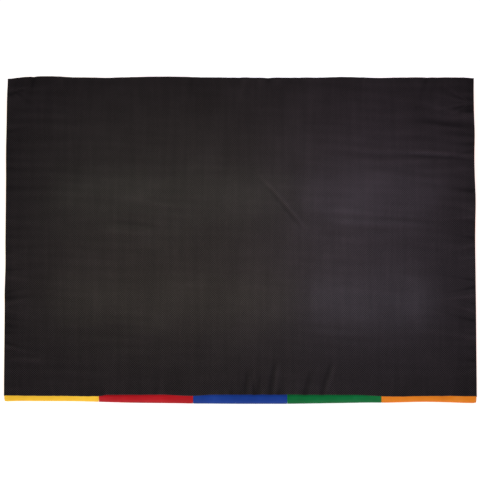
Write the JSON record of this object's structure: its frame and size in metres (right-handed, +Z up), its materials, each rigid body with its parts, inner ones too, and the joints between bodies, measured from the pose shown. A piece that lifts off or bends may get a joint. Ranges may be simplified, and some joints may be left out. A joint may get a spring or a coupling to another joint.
{
  "type": "folding gym mat",
  "caption": "Flat padded exercise mat that folds like a concertina: coloured vinyl panels over foam with a black anti-slip base cloth, laid with the base cloth up.",
  "frame": {"origin": "middle of the mat's footprint on the surface that it lies on, coloured face down", "axes": "+X along the row of panels from the yellow end to the orange end, +Z up through the thickness to the black base cloth, -Y the front long edge"},
  "size_m": [1.524, 1.2192, 0.0508],
  "materials": {
    "vinyl_yellow": "satin coated vinyl",
    "vinyl_red": "satin coated vinyl",
    "vinyl_blue": "satin coated vinyl",
    "vinyl_green": "satin coated vinyl",
    "vinyl_orange": "satin coated vinyl",
    "foam": "closed-cell foam",
    "base_cloth": "matt cloth with a fine pattern of raised anti-slip dots"
  },
  "bodies": {
    "panel_yellow": {"cover_yellow": "vinyl_yellow", "gusset_left_yellow": "vinyl_yellow", "gusset_right_yellow": "vinyl_yellow", "foam_core_yellow": "foam", "base_cloth_yellow": "base_cloth"},
    "panel_red": {"cover_red": "vinyl_red", "gusset_left_red": "vinyl_red", "gusset_right_red": "vinyl_red", "foam_core_red": "foam", "base_cloth_red": "base_cloth"},
    "panel_blue": {"cover_blue": "vinyl_blue", "gusset_left_blue": "vinyl_blue", "gusset_right_blue": "vinyl_blue", "foam_core_blue": "foam", "base_cloth_blue": "base_cloth"},
    "panel_green": {"cover_green": "vinyl_green", "gusset_left_green": "vinyl_green", "gusset_right_green": "vinyl_green", "foam_core_green": "foam", "base_cloth_green": "base_cloth"},
    "panel_orange": {"cover_orange": "vinyl_orange", "gusset_left_orange": "vinyl_orange", "gusset_right_orange": "vinyl_orange", "foam_core_orange": "foam", "base_cloth_orange": "base_cloth"}
  },
  "joints": [
    {"name": "fold_1", "type": "hinge", "parent": "panel_yellow", "child": "panel_red", "pos_m": [-0.4572, 0, 0.0511], "axis": [0, -1, 0], "range_deg": [0, 179]},
    {"name": "fold_2", "type": "hinge", "parent": "panel_red", "child": "panel_blue", "pos_m": [-0.1524, 0, -0.0003], "axis": [0, 1, 0], "range_deg": [0, 179]},
    {"name": "fold_3", "type": "hinge", "parent": "panel_blue", "child": "panel_green", "pos_m": [0.1524, 0, 0.0511], "axis": [0, -1, 0], "range_deg": [0, 179]},
    {"name": "fold_4", "type": "hinge", "parent": "panel_green", "child": "panel_orange", "pos_m": [0.4572, 0, -0.0003], "axis": [0, 1, 0], "range_deg": [0, 179]}
  ],
  "couplings": [
    {"joint": "fold_2", "follows": "fold_1", "ratio": 1},
    {"joint": "fold_3", "follows": "fold_1", "ratio": 1},
    {"joint": "fold_4", "follows": "fold_1", "ratio": 1}
  ]
}
